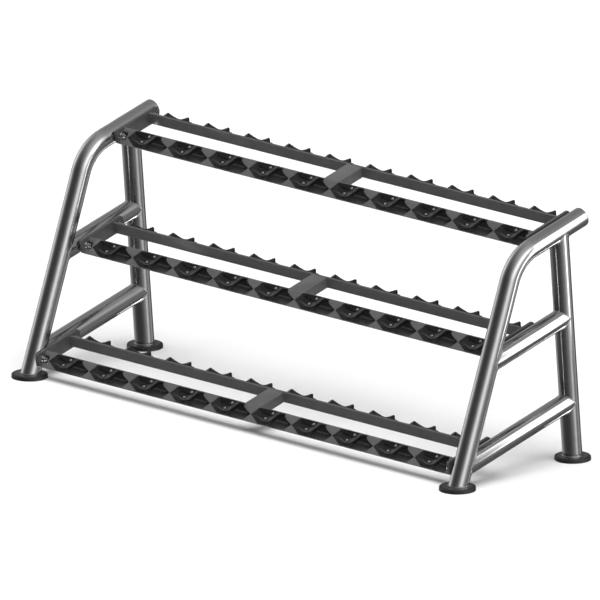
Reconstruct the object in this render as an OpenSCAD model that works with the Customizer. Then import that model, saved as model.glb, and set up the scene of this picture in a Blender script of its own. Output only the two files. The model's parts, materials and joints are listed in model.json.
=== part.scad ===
// Three-tier dumbbell rack: two bent-tube side frames carry three tilted
// trays, and each tray holds two rows of moulded saddles.
// Millimetres. X runs along the rack, Y to the rear, Z up. The origin is on
// the floor, under the middle of the rack.

/* [Side frames] */
// Distance between the middle planes of the two side frames
frame_gap = 2300; // [2290:5:2500]
// Distance between the front and rear feet of a frame
foot_gap = 620; // [600:5:680]
// Outside diameter of the frame tubes
tube_d = 76; // [72:1:78]
// Wall of the frame tubes
tube_wall = 3; // [2:0.5:5]
// Lean of the front leg to the rear, from upright
front_lean = 20; // [18:1:22]
// Lean of the rear leg to the front, from upright
rear_lean = 5; // [3:1:7]
// Height where the axes of the front leg and the arm would meet
arm_z = 845; // [820:5:880]
// Radius of the bend between the front leg and the arm
bend_r = 175; // [150:5:200]
// Length of the arm, from that meeting point to its rear end
arm_len = 366; // [356:2:400]
// Height where the axis of the lower rung meets that of the front leg
low_rung_z = 80; // [78:1:110]
// Height where the axis of the middle rung meets that of the front leg
mid_rung_z = 460; // [430:2:500]

/* [Feet] */
// Diameter of a rubber foot
pad_d = 140; // [130:2:170]
// Height of a rubber foot
pad_h = 16; // [14:1:22]
// Radius of the rounded top edge of a rubber foot
pad_round = 6; // [3:0.5:6]
// Diameter of the steel flange that sits in the rubber foot
flange_d = 120; // [104:2:122]
// Thickness of the steel flange
flange_t = 6; // [4:0.5:8]

/* [Trays] */
// Slope of the trays and rungs, rising to the rear
tilt = 15; // [12:1:18]
// Height of the top of the rails over the axis of the rungs
tray_rise = 24; // [18:0.5:26]
// Distance from the front leg's axis to the lower tray's front rail
low_tray_s = 21; // [14:1:30]
// Distance from the front leg's axis to the middle tray's front rail
mid_tray_s = 120; // [100:1:130]
// Distance from the front leg's axis to the upper tray's front rail
top_tray_s = 171; // [160:1:174]
// Open gap between the front rail and the rear rail
rail_gap = 125; // [110:1:140]
// Sheet thickness of the rails
rail_t = 4; // [3:0.5:4.5]
// Outside radius of the fold along the top of a rail
nose_r = 5; // [5:0.5:7]
// Height of the inner flange of a rail
inner_h = 45.5; // [40:0.5:47]
// Height of the sloping outer flange of a rail
outer_h = 49; // [48:0.5:52]
// Angle of the outer flange below the plane of the tray
slope = 48; // [44:1:52]
// Width of the centre bar
bar_w = 80; // [50:2:100]
// Wall of the centre bar
bar_wall = 3; // [2:0.5:5]
// Distance of the centre bar from mid-length
bar_shift = 13; // [-400:1:400]

/* [Tray ends] */
// Gap between the frame's middle plane and the welded bracket plate
bracket_x = 40; // [40:0.5:44]
// Thickness of the welded bracket plate
bracket_t = 6; // [4:0.5:8]
// Thickness of the end plate of a tray
plate_t = 6; // [4:0.5:7]
// Length of the plates past the inner faces of the rails, at each end
plate_reach = 54; // [54:1:60]
// Top edge of the plates above the rails
plate_top = 5; // [3:0.5:8]
// Bottom edge of the plates below the top of the rails
plate_drop = 52; // [50:1:58]
// Corner radius of the plates
plate_r = 10; // [6:1:14]
// Distance of the studs from the inner faces of the rails
stud_s = 27; // [25:1:30]
// Diameter of the studs
stud_d = 12; // [10:1:14]
// Length of the notch in the sloping flange round a stud
notch_x = 30; // [24:1:34]

/* [Saddles] */
// Number of saddles in a row
saddle_n = 10; // [2:1:10]
// Distance between neighbouring saddles
pitch = 218.5; // [215:0.5:219]
// Distance of the saddle rows from mid-length
row_shift = 26; // [-26:1:26]
// Length of a saddle, from point to point
saddle_len = 212; // [204:1:212]
// Length of the straight upper edge of a saddle
saddle_top = 140; // [132:1:144]
// Distance of a saddle's points below its upper edge
tip_u = 32; // [29:1:36]
// Distance of a saddle's lower edge below its upper edge
low_u = 59.5; // [56:0.5:60]
// Height of a saddle's two horns above the rail
horn_h = 19; // [16:0.5:21]
// Distance between the two horns
horn_gap = 112; // [108:1:114]
// Radius of the trough between the horns
trough_r = 90; // [86:1:96]
// Thickness of the saddle at the upper end of the trough
floor_t = 2.4; // [2.4:0.1:4]
// Slope of the trough against the rail
trough_rise = 4; // [3:0.5:6]
// Height of the upright rim round a saddle
rim_h = 1.6; // [1:0.2:2]
// Diameter of the saddle screws
screw_d = 6; // [4:0.5:8]

/* [Hidden] */

// Sides of the rack
left = -1;
right = 1;
// Tiers
lower = 0;
middle = 1;
upper = 2;
level_z = [low_rung_z, mid_rung_z, arm_z];
level_s = [low_tray_s, mid_tray_s, top_tray_s];

// Small clearance at welded curved joints, and running clearance of holes
weld_gap = 0.2;
hole_gap = 0.3;
// Extra length of a cutting tool past the face that it cuts
over = 1;
// Longer than any piece that a half-space is cut from
far = 3000;
// Smoothness of tubes and of small round pieces
$fn = 96;
small_fn = 32;

bend_angle = 90 - front_lean - tilt;
bend_run = bend_r * tan(bend_angle / 2);
// The straight parts lap over the ends of the bend, which is drawn slimmer
bend_lap = 2;
bend_draw = 0.1;
leg_run = arm_z / cos(front_lean) - bend_run + bend_lap;
bore_d = tube_d - 2 * tube_wall;

pad_recess = pad_h - flange_t + 0.5;
sole_z = pad_recess + flange_t;

cap_t = 4;
cap_plug = 14;
cap_round = 2.5;

rib_t = 5;
rib_n = 19;
rib_x = 24;

end_x = bracket_x + bracket_t + plate_t;
rail_len = frame_gap - 2 * end_x;
slope_len = (outer_h - nose_r + nose_r * cos(slope)) / sin(slope);

washer_t = 2.5;
washer_d = 2 * stud_d;
nut_t = 0.9 * stud_d;
nut_af = 1.6 * stud_d;
stud_tail = 9;
stud_reach = bracket_t + plate_t + washer_t + nut_t + stud_tail;
nut_room = washer_t + nut_t + stud_tail + 1;
notch_s = 11.5;
fold_n = 10;

bar_top = 2;
bar_round = 5;

// A saddle laps this far over the fold, and its horns stand this far below
lap_u = 2.5;
horn_u = 2;
saddle_low = 124;
ridge_x = 33;
ridge_h = 8;
saddle_x = [for (k = [0:saddle_n - 1]) row_shift + (k - (saddle_n - 1) / 2) * pitch];
seat_h = 1.4;
pocket_d = 17;
screw_at = [[-27, -35], [2, -9]];
head_d = 2 * screw_d;
head_h = 0.6 * screw_d;
socket_d = 0.75 * screw_d;
screw_len = 10;

// Y of the front leg's axis and of the rear leg's axis at a height
function leg_y(z) = z * tan(front_lean) - foot_gap / 2;
function rear_y(z) = foot_gap / 2 - z * tan(rear_lean);
// Length of a rung between the two axes, from its height at the front leg
function rung_run(z) = (rear_y(z) - leg_y(z)) / (cos(tilt) + sin(tilt) * tan(rear_lean));

// Puts X = 0 on a side frame's middle plane, with +X to the middle of the rack
module at_side(side) {
    translate([side * frame_gap / 2, 0, 0])
        mirror([side == right ? 1 : 0, 0, 0])
            children();
}

// Turns +Z to a line in the side plane that leans to the rear
module leaning(y, z, lean) {
    translate([0, y, z])
        rotate([-lean, 0, 0])
            children();
}

// Turns a drawing in X and Y to the side plane, with its depth along X
module side_plane() {
    rotate([90, 0, 90])
        children();
}

// Origin at the top of a tray's front rail: Y along the slope, Z square to it
module on_tray(tier) {
    z = level_z[tier];
    s = level_s[tier];
    translate([0, leg_y(z), z])
        rotate([tilt, 0, 0])
            translate([0, s, tray_rise])
                children();
}

// Straight part of the front leg, from below the floor up to the bend
module front_leg_path(d) {
    leaning(leg_y(0), 0, front_lean)
        translate([0, 0, -tube_d])
            cylinder(d = d, h = leg_run + tube_d);
}

// Front leg, bend and arm. The bend is drawn slightly slimmer than the tube
module bent_path(d, extra) {
    front_leg_path(d);
    leaning(leg_y(0), 0, front_lean)
        translate([0, 0, leg_run - bend_lap])
            rotate([front_lean, 0, 0])
                side_plane()
                    translate([bend_r * cos(front_lean), -bend_r * sin(front_lean)])
                        rotate([0, 0, 90 + tilt])
                            rotate_extrude(angle = bend_angle)
                                translate([bend_r, 0])
                                    circle(d = d - 2 * bend_draw);
    leaning(leg_y(arm_z), arm_z, 90 - tilt)
        translate([0, 0, bend_run - bend_lap])
            cylinder(d = d, h = arm_len - bend_run + bend_lap + extra);
}

module rear_leg_path(d) {
    leaning(rear_y(0), 0, -rear_lean)
        translate([0, 0, -tube_d])
            cylinder(d = d, h = tube_d + (arm_z + rung_run(arm_z) * sin(tilt)) / cos(rear_lean));
}

// Straight axis of a rung, or of the arm at the upper tier
module rung_path(tier, d, extra) {
    z = level_z[tier];
    leaning(leg_y(z), z, 90 - tilt)
        translate([0, 0, -extra])
            cylinder(d = d, h = rung_run(z) + 2 * extra);
}

module below_sole() {
    translate([-tube_d, -far / 2, sole_z - far])
        cube([2 * tube_d, far, far]);
}

// One tube bent to make the front leg and the arm
module front_leg(side) {
    color("silver")
        at_side(side)
            difference() {
                bent_path(tube_d, 0);
                bent_path(bore_d, over);
                below_sole();
            }
}

// The top of the rear leg is coped to the underside of the arm
module rear_leg(side) {
    color("silver")
        at_side(side)
            difference() {
                rear_leg_path(tube_d);
                rear_leg_path(bore_d);
                rung_path(upper, tube_d + 2 * weld_gap, tube_d);
                below_sole();
            }
}

// Both ends of a rung are coped to the legs
module rung(side, tier) {
    color("silver")
        at_side(side)
            difference() {
                rung_path(tier, tube_d, 0);
                rung_path(tier, bore_d, over);
                front_leg_path(tube_d + 2 * weld_gap);
                rear_leg_path(tube_d + 2 * weld_gap);
            }
}

// Pressed-in cap: a domed disc and a plug inside the arm
module arm_cap(side) {
    color("black")
        at_side(side)
            leaning(leg_y(arm_z), arm_z, 90 - tilt)
                translate([0, 0, arm_len])
                    rotate_extrude()
                        union() {
                            square([tube_d / 2 - cap_round, cap_t]);
                            square([tube_d / 2, cap_t - cap_round]);
                            translate([tube_d / 2 - cap_round, cap_t - cap_round])
                                intersection() {
                                    circle(r = cap_round, $fn = small_fn);
                                    square(cap_round);
                                }
                            translate([0, -cap_plug])
                                square([bore_d / 2 - weld_gap, cap_plug]);
                        }
}

module foot_flange(side, y) {
    color("dimgray")
        at_side(side)
            translate([0, y, pad_recess])
                cylinder(d = flange_d, h = flange_t);
}

// Rubber foot: a rounded disc with a recess for the flange
module foot_pad(side, y) {
    pad_r = pad_d / 2;
    color("black")
        at_side(side)
            translate([0, y, 0])
                difference() {
                    rotate_extrude()
                        union() {
                            square([pad_r - pad_round, pad_h]);
                            square([pad_r, pad_h - pad_round]);
                            translate([pad_r - pad_round, pad_h - pad_round])
                                intersection() {
                                    circle(r = pad_round, $fn = small_fn);
                                    square(pad_round);
                                }
                        }
                    translate([0, 0, pad_recess])
                        cylinder(d = flange_d + 2 * hole_gap, h = pad_h);
                }
}

// Rounded outline of the bracket plates and end plates, seen from the side
module plate_outline() {
    span = rail_gap + 2 * plate_reach;
    high = plate_top + plate_drop;
    translate([-plate_reach, -plate_drop]) {
        translate([plate_r, 0])
            square([span - 2 * plate_r, high]);
        translate([0, plate_r])
            square([span, high - 2 * plate_r]);
        for (y = [plate_r, span - plate_r], z = [plate_r, high - plate_r])
            translate([y, z])
                circle(r = plate_r, $fn = small_fn);
    }
}

// Puts +Z on the two studs of a tray's end, pointing to the middle of the rack
module at_studs() {
    for (s = [-stud_s, rail_gap + stud_s])
        translate([0, s, -tray_rise])
            rotate([0, 90, 0])
                children();
}

// Plate on two ribs that are coped and welded to the tube
module bracket(side, tier) {
    color("dimgray")
        at_side(side)
            difference() {
                on_tray(tier) {
                    translate([bracket_x, 0, 0])
                        side_plane()
                            linear_extrude(bracket_t)
                                plate_outline();
                    for (n = [-rib_n, rib_n - rib_t])
                        translate([rib_x, -stud_s, n - tray_rise])
                            cube([bracket_x - rib_x + over, rail_gap + 2 * stud_s, rib_t]);
                }
                rung_path(tier, tube_d + 2 * weld_gap, tube_d);
                front_leg_path(tube_d + 2 * weld_gap);
                on_tray(tier)
                    at_studs()
                        cylinder(d = stud_d + 2 * weld_gap, h = end_x, $fn = small_fn);
            }
}

module end_plate(side, tier) {
    color("dimgray")
        at_side(side)
            on_tray(tier)
                difference() {
                    translate([bracket_x + bracket_t, 0, 0])
                        side_plane()
                            linear_extrude(plate_t)
                                plate_outline();
                    at_studs()
                        cylinder(d = stud_d + 2 * hole_gap, h = end_x + over, $fn = small_fn);
                }
}

module at_tray_ends() {
    for (side = [left, right], tier = [lower, middle, upper])
        at_side(side)
            on_tray(tier)
                at_studs()
                    children();
}

// Studs stand on the bracket plates and pass through the end plates
module studs() {
    color("silver")
        at_tray_ends()
            translate([0, 0, bracket_x])
                cylinder(d = stud_d, h = stud_reach, $fn = small_fn);
}

module stud_washers() {
    color("silver")
        at_tray_ends()
            translate([0, 0, end_x])
                difference() {
                    cylinder(d = washer_d, h = washer_t, $fn = small_fn);
                    translate([0, 0, -over])
                        cylinder(d = stud_d + 2 * hole_gap, h = washer_t + 2 * over, $fn = small_fn);
                }
}

module stud_nuts() {
    color("silver")
        at_tray_ends()
            translate([0, 0, end_x + washer_t])
                difference() {
                    cylinder(d = nut_af / cos(30), h = nut_t, $fn = 6);
                    translate([0, 0, -over])
                        cylinder(d = stud_d + 2 * weld_gap, h = nut_t + 2 * over, $fn = small_fn);
                }
}

// Point on the fold, from the inner flange to the sloping outer flange
function fold_point(r, i) = let (a = i / fold_n * (90 + slope))
    [r * cos(a) - nose_r, r * sin(a) - nose_r];
// Point at the free edge of the sloping outer flange
function edge_point(r) = fold_point(r, fold_n) - slope_len * [cos(slope), sin(slope)];

// Folded section of a rail: inner flange, fold and sloping outer flange
module rail_section() {
    bend_r_in = nose_r - rail_t;
    polygon(concat(
        [[0, -inner_h]],
        [for (i = [0:fold_n]) fold_point(nose_r, i)],
        [edge_point(nose_r), edge_point(bend_r_in)],
        [for (i = [fold_n:-1:0]) fold_point(bend_r_in, i)],
        [[-rail_t, -inner_h]]
    ));
}

// Origin on the outer flange of the front rail, where its flat part begins:
// X along the rail, Y up the slope, Z out of the flange
module on_slope(x) {
    translate([x, -nose_r - nose_r * sin(slope), -nose_r + nose_r * cos(slope)])
        rotate([slope, 0, 0])
            children();
}

// Turns what is drawn at the front rail round to the rear rail
module turned(x) {
    translate([x, rail_gap, 0])
        rotate([0, 0, 180])
            children();
}

module screw_holes(d) {
    for (p = screw_at)
        translate([p[0], p[1], -rail_t - over])
            cylinder(d = d, h = rail_t + horn_h, $fn = small_fn);
}

module front_rail_blank() {
    difference() {
        translate([-rail_len / 2, 0, 0])
            side_plane()
                linear_extrude(rail_len)
                    rail_section();
        for (end = [-1, 1])
            translate([end * rail_len / 2 - notch_x, -stud_s - notch_s, -outer_h])
                cube([2 * notch_x, 2 * notch_s, outer_h + over]);
    }
}

module front_rail(tier) {
    color("#4a4a4c")
        on_tray(tier)
            difference() {
                front_rail_blank();
                for (x = saddle_x)
                    on_slope(x)
                        screw_holes(screw_d + 2 * hole_gap);
            }
}

module rear_rail(tier) {
    color("#4a4a4c")
        on_tray(tier)
            difference() {
                turned(0)
                    front_rail_blank();
                for (x = saddle_x)
                    turned(x)
                        on_slope(0)
                            screw_holes(screw_d + 2 * hole_gap);
            }
}

// Rectangular tube between the two rails
module centre_bar(tier) {
    high = inner_h - bar_top;
    color("#5a5a5c")
        on_tray(tier)
            translate([bar_shift, 0, -inner_h])
                rotate([90, 0, 0])
                    mirror([0, 0, 1])
                        linear_extrude(rail_gap)
                            difference() {
                                union() {
                                    translate([-bar_w / 2, bar_round])
                                        square([bar_w, high - 2 * bar_round]);
                                    translate([-bar_w / 2 + bar_round, 0])
                                        square([bar_w - 2 * bar_round, high]);
                                    for (x = [-1, 1], z = [bar_round, high - bar_round])
                                        translate([x * (bar_w / 2 - bar_round), z])
                                            circle(r = bar_round, $fn = small_fn);
                                }
                                translate([-bar_w / 2 + bar_wall, bar_wall])
                                    square([bar_w - 2 * bar_wall, high - 2 * bar_wall]);
                            }
}

// Six-sided block with a rim, with a low ridge to each point and a steeper rise
// to the line between the two horns
module saddle_block() {
    outline = [
        [-saddle_top / 2, lap_u], [saddle_top / 2, lap_u],
        [saddle_len / 2, -tip_u], [saddle_low / 2, -low_u],
        [-saddle_low / 2, -low_u], [-saddle_len / 2, -tip_u]
    ];
    points = concat(
        [for (p = outline) [p[0], p[1], 0]],
        [for (p = outline) [p[0], p[1], rim_h]],
        [[-horn_gap / 2, -horn_u, horn_h], [horn_gap / 2, -horn_u, horn_h]],
        [[-ridge_x, -tip_u, ridge_h], [ridge_x, -tip_u, ridge_h]]
    );
    sides = [for (i = [0:5]) [i, (i + 1) % 6, (i + 1) % 6 + 6, i + 6]];
    facets = [
        [7, 13, 12, 6], [8, 13, 7], [8, 15, 13], [9, 15, 8], [10, 14, 15, 9],
        [14, 12, 13, 15], [11, 14, 10], [11, 12, 14], [6, 12, 11]
    ];
    polyhedron(points, concat([[5, 4, 3, 2, 1, 0]], sides, facets));
}

// Moulded saddle: the block with a round trough and two screw pockets
module saddle() {
    difference() {
        saddle_block();
        translate([0, 0, floor_t + trough_r])
            rotate([90 - trough_rise, 0, 0])
                cylinder(r = trough_r, h = 4 * low_u, center = true);
        for (p = screw_at)
            translate([p[0], p[1], seat_h])
                cylinder(d = pocket_d, h = horn_h, $fn = small_fn);
        screw_holes(screw_d + 2 * hole_gap);
    }
}

// Ends of a tray, where the points of a saddle are cut off to clear the nuts
module near_nuts() {
    for (end = [-1, 1])
        translate([end * rail_len / 2 - nut_room, -far / 2, -far / 2])
            cube([2 * nut_room, far, far]);
}

module front_saddles(tier) {
    color("#1c1c1e")
        on_tray(tier)
            difference() {
                for (x = saddle_x)
                    on_slope(x)
                        saddle();
                near_nuts();
            }
}

module rear_saddles(tier) {
    color("#1c1c1e")
        on_tray(tier)
            difference() {
                for (x = saddle_x)
                    turned(x)
                        on_slope(0)
                            saddle();
                near_nuts();
            }
}

// Socket screw with a low domed head
module saddle_screw() {
    difference() {
        union() {
            translate([0, 0, -screw_len])
                cylinder(d = screw_d, h = screw_len, $fn = small_fn);
            cylinder(d = head_d, h = head_h / 2, $fn = small_fn);
            translate([0, 0, head_h / 2])
                cylinder(d1 = head_d, d2 = 0.7 * head_d, h = head_h / 2, $fn = small_fn);
        }
        translate([0, 0, head_h / 2])
            cylinder(d = socket_d, h = head_h, $fn = 6);
    }
}

module screws(tier) {
    color("silver")
        on_tray(tier)
            for (x = saddle_x, p = screw_at) {
                on_slope(x)
                    translate([p[0], p[1], seat_h])
                        saddle_screw();
                turned(x)
                    on_slope(0)
                        translate([p[0], p[1], seat_h])
                            saddle_screw();
            }
}

front_leg(left);  // left_front_leg
rear_leg(left);  // left_rear_leg
rung(left, lower);  // left_lower_rung
rung(left, middle);  // left_middle_rung
arm_cap(left);  // left_arm_cap
foot_flange(left, leg_y(0));  // left_front_flange
foot_flange(left, rear_y(0));  // left_rear_flange
foot_pad(left, leg_y(0));  // left_front_foot
foot_pad(left, rear_y(0));  // left_rear_foot
front_leg(right);  // right_front_leg
rear_leg(right);  // right_rear_leg
rung(right, lower);  // right_lower_rung
rung(right, middle);  // right_middle_rung
arm_cap(right);  // right_arm_cap
foot_flange(right, leg_y(0));  // right_front_flange
foot_flange(right, rear_y(0));  // right_rear_flange
foot_pad(right, leg_y(0));  // right_front_foot
foot_pad(right, rear_y(0));  // right_rear_foot
bracket(left, lower);  // left_lower_bracket
bracket(left, middle);  // left_middle_bracket
bracket(left, upper);  // left_upper_bracket
bracket(right, lower);  // right_lower_bracket
bracket(right, middle);  // right_middle_bracket
bracket(right, upper);  // right_upper_bracket
front_rail(lower);  // lower_front_rail
rear_rail(lower);  // lower_rear_rail
centre_bar(lower);  // lower_centre_bar
end_plate(left, lower);  // lower_left_plate
end_plate(right, lower);  // lower_right_plate
front_saddles(lower);  // lower_front_saddles
rear_saddles(lower);  // lower_rear_saddles
screws(lower);  // lower_screws
front_rail(middle);  // middle_front_rail
rear_rail(middle);  // middle_rear_rail
centre_bar(middle);  // middle_centre_bar
end_plate(left, middle);  // middle_left_plate
end_plate(right, middle);  // middle_right_plate
front_saddles(middle);  // middle_front_saddles
rear_saddles(middle);  // middle_rear_saddles
screws(middle);  // middle_screws
front_rail(upper);  // upper_front_rail
rear_rail(upper);  // upper_rear_rail
centre_bar(upper);  // upper_centre_bar
end_plate(left, upper);  // upper_left_plate
end_plate(right, upper);  // upper_right_plate
front_saddles(upper);  // upper_front_saddles
rear_saddles(upper);  // upper_rear_saddles
screws(upper);  // upper_screws
studs();
stud_washers();
stud_nuts();
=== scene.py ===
import json
import math
import bpy
import bmesh
import numpy as np
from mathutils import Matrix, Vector

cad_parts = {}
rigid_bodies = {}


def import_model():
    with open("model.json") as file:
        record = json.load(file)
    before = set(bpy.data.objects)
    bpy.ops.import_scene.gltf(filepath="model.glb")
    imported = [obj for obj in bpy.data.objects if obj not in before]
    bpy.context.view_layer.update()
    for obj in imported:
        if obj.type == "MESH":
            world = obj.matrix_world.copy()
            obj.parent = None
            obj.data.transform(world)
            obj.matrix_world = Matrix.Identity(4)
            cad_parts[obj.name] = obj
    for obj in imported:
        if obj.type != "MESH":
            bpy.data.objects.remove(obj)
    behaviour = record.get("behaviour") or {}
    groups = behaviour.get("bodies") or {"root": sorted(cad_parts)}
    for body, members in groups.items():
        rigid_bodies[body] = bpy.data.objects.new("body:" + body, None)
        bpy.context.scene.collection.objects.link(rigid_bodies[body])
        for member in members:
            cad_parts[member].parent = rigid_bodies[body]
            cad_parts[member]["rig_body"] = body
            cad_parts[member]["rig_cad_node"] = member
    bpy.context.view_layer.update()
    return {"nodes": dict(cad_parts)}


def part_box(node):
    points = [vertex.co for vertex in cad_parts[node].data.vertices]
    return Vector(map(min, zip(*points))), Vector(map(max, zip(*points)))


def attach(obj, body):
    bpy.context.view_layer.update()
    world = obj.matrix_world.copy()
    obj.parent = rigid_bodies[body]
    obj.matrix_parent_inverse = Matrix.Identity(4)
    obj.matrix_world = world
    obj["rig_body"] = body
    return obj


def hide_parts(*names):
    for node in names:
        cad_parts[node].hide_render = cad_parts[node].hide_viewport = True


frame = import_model()
cad = frame["nodes"]
print("rack loaded:", len(cad), "solids")

# Main sizes of the rack, in metres and degrees
rack = {
    "frameGap": 2.3, "footGap": 0.62, "tubeR": 0.038,
    "frontLean": 20, "rearLean": 5, "tilt": 15,
    "armZ": 0.845, "bendR": 0.175, "armLen": 0.366,
    "lowRungZ": 0.080, "midRungZ": 0.460,
    "lowTrayS": 0.021, "midTrayS": 0.120, "topTrayS": 0.171,
    "trayRise": 0.024, "railGap": 0.125, "soleZ": 0.0165,
}
lean = math.radians(rack["frontLean"])
rearLean = math.radians(rack["rearLean"])
tilt = math.radians(rack["tilt"])
tubeR = rack["tubeR"]
sides = {"left": -rack["frameGap"] / 2, "right": rack["frameGap"] / 2}
tiers = {
    "lower": (rack["lowRungZ"], rack["lowTrayS"]),
    "middle": (rack["midRungZ"], rack["midTrayS"]),
    "upper": (rack["armZ"], rack["topTrayS"]),
}
mmPerMetre = 1000

# Unit vectors in the side plane, as (y, z): along a piece, and square to it
legDir = np.array([math.sin(lean), math.cos(lean)])
legSide = np.array([math.cos(lean), -math.sin(lean)])
rearDir = np.array([-math.sin(rearLean), math.cos(rearLean)])
rearSide = np.array([math.cos(rearLean), math.sin(rearLean)])
armDir = np.array([math.cos(tilt), math.sin(tilt)])
armSide = np.array([-math.sin(tilt), math.cos(tilt)])


def legPoint(z):
    # point on the front leg's axis at a height: y grows with the tangent of the lean
    return np.array([z * math.tan(lean) - rack["footGap"] / 2, z])


def rearPoint(z):
    # point on the rear leg's axis at a height: y falls with the tangent of the lean
    return np.array([rack["footGap"] / 2 - z * math.tan(rearLean), z])


def trayPoints(tier, x, s, n):
    # x along the rack, s up the tray's slope and n square to it, from the front rail's top edge
    z, offset = tiers[tier]
    base = legPoint(z) + armDir * offset + armSide * rack["trayRise"]
    y = base[0] + s * armDir[0] + n * armSide[0]
    up = base[1] + s * armDir[1] + n * armSide[1]
    return np.stack(np.broadcast_arrays(x, y, up), axis=-1)


def gridFaces(rows, cols, closeCols, start=0):
    # quads between neighbouring rows and columns; the last column joins the first when closed
    r = np.arange(rows - 1)[:, None]
    c = np.arange(cols if closeCols else cols - 1)[None, :]
    nextC = (c + 1) % cols
    quads = np.stack([r * cols + c, r * cols + nextC,
                      (r + 1) * cols + nextC, (r + 1) * cols + c], axis=-1)
    return quads.reshape(-1, 4) + start


def newPiece(name, points, faces, material, sharp, uv=None, merge=0.0, caps=False):
    # a mesh from points and index lists: points nearer than merge join, caps closes open ends,
    # faces turn outwards, and edges bent by more than sharp degrees stay crisp
    mesh = bpy.data.meshes.new(name)
    flat = np.asarray(points, float).reshape(-1, 3).tolist()
    mesh.from_pydata(flat, [], [list(map(int, face)) for face in faces])
    if uv is not None:
        layer = mesh.uv_layers.new(name="along")
        loopVerts = np.zeros(len(mesh.loops), np.int32)
        mesh.loops.foreach_get("vertex_index", loopVerts)
        values = np.asarray(uv, np.float32).reshape(-1, 2)[loopVerts]
        layer.data.foreach_set("uv", values.ravel())
    work = bmesh.new()
    work.from_mesh(mesh)
    if merge > 0:
        bmesh.ops.remove_doubles(work, verts=work.verts, dist=merge)
    if caps:
        openEdges = [edge for edge in work.edges if edge.is_boundary]
        bmesh.ops.holes_fill(work, edges=openEdges, sides=0)
    bmesh.ops.recalc_face_normals(work, faces=work.faces)
    work.to_mesh(mesh)
    work.free()
    mesh.polygons.foreach_set("use_smooth", np.ones(len(mesh.polygons), bool))
    mesh.set_sharp_from_angle(angle=math.radians(sharp))
    mesh.update()
    piece = bpy.data.objects.new(name, mesh)
    bpy.context.scene.collection.objects.link(piece)
    mesh.materials.append(material)
    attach(piece, "root")
    return piece


def newMaterial(name):
    # an empty material with its node tree and its shader
    material = bpy.data.materials.new(name)
    material.use_nodes = True
    tree = material.node_tree
    return material, tree, tree.nodes["Principled BSDF"]


# Each look: two colours, the range of roughness, noises as (stretch, scale, detail, roughness),
# and a bump as (strength, depth). The cloud noise sets colour and roughness and the grain noise
# the bump; a look without cloud has grain for all three
plain = (1, 1, 1)
looks = {
    # bright satin tube: fine polishing lines run along it, with faint cloudy patches
    "polishedTube": {
        "light": (0.65, 0.637, 0.642), "dark": (0.57, 0.558, 0.562), "rough": (0.13, 0.19),
        "cloud": ((9, 9, 1), 1.0, 3.0, 0.55), "grain": ((900, 7, 1), 1.0, 5.0, 0.7),
        "bump": (0.06, 0.0004), "metal": 1.0, "alongTube": True, "roughFromGrain": True},
    # weld ground back and polished less finely than the tube
    "weldBead": {
        "light": (0.58, 0.57, 0.56), "dark": (0.36, 0.35, 0.34), "rough": (0.26, 0.42),
        "grain": (plain, 420.0, 4.0, 0.6), "bump": (0.25, 0.0006), "metal": 1.0},
    # powder coat: a fine orange peel and a little cloudiness under a thin clear coat
    "railPaint": {
        "light": (0.105, 0.104, 0.106), "dark": (0.088, 0.087, 0.089), "rough": (0.12, 0.19),
        "cloud": (plain, 11.0, 4.0, 0.6), "grain": (plain, 520.0, 2.0, 0.5),
        "bump": (0.10, 0.0003), "coat": (0.25, 0.12)},
    "platePaint": {
        "light": (0.075, 0.074, 0.076), "dark": (0.06, 0.059, 0.061), "rough": (0.2, 0.27),
        "cloud": (plain, 11.0, 4.0, 0.6), "grain": (plain, 520.0, 2.0, 0.5),
        "bump": (0.10, 0.0003), "coat": (0.25, 0.12)},
    "flangePaint": {
        "light": (0.035, 0.035, 0.036), "dark": (0.026, 0.026, 0.027), "rough": (0.3, 0.37),
        "cloud": (plain, 11.0, 4.0, 0.6), "grain": (plain, 520.0, 2.0, 0.5),
        "bump": (0.10, 0.0003), "coat": (0.25, 0.12)},
    # moulded black plastic: spark-eroded grain and flow marks; a paler painted highlight on its
    # lips, ridge and lower edge, and painted shade that takes its shine away
    "saddlePlastic": {
        "light": (0.011, 0.011, 0.0115), "dark": (0.007, 0.007, 0.0075), "rough": (0.26, 0.36),
        "cloud": ((1, 1, 3), 26.0, 3.0, 0.5), "grain": (plain, 900.0, 3.0, 0.6),
        "bump": (0.18, 0.0003), "paintedHighlight": (0.075, 0.075, 0.077), "shine": 0.5, "paintedShadeDrop": -0.48},
    "capPlastic": {
        "light": (0.02, 0.02, 0.021), "dark": (0.014, 0.014, 0.015), "rough": (0.36, 0.46),
        "cloud": ((1, 1, 3), 26.0, 3.0, 0.5), "grain": (plain, 900.0, 3.0, 0.6),
        "bump": (0.18, 0.0003)},
    # matte rubber with a dusty bloom
    "footRubber": {
        "light": (0.022, 0.022, 0.022), "dark": (0.008, 0.008, 0.008), "rough": (0.42, 0.62),
        "cloud": (plain, 38.0, 5.0, 0.65), "grain": (plain, 700.0, 4.0, 0.7),
        "bump": (0.3, 0.0004)},
    # bright zinc plate with a faint crystalline mottle
    "platedSteel": {
        "light": (0.86, 0.86, 0.85), "dark": (0.62, 0.63, 0.64), "rough": (0.14, 0.26),
        "grain": (plain, 240.0, 3.0, 0.6), "bump": (0.06, 0.0003), "metal": 1.0},
}
noiseRange = (0.3, 0.7)
# thread colours: light is a painted highlight on the crests, dark is painted shade in the roots
threadLook = {"pitch": 0.00175, "bandsPerUnit": 20, "light": (0.8, 0.8, 0.8),
              "dark": (0.34, 0.34, 0.35), "rough": 0.24, "bump": (0.8, 0.0008)}


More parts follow.
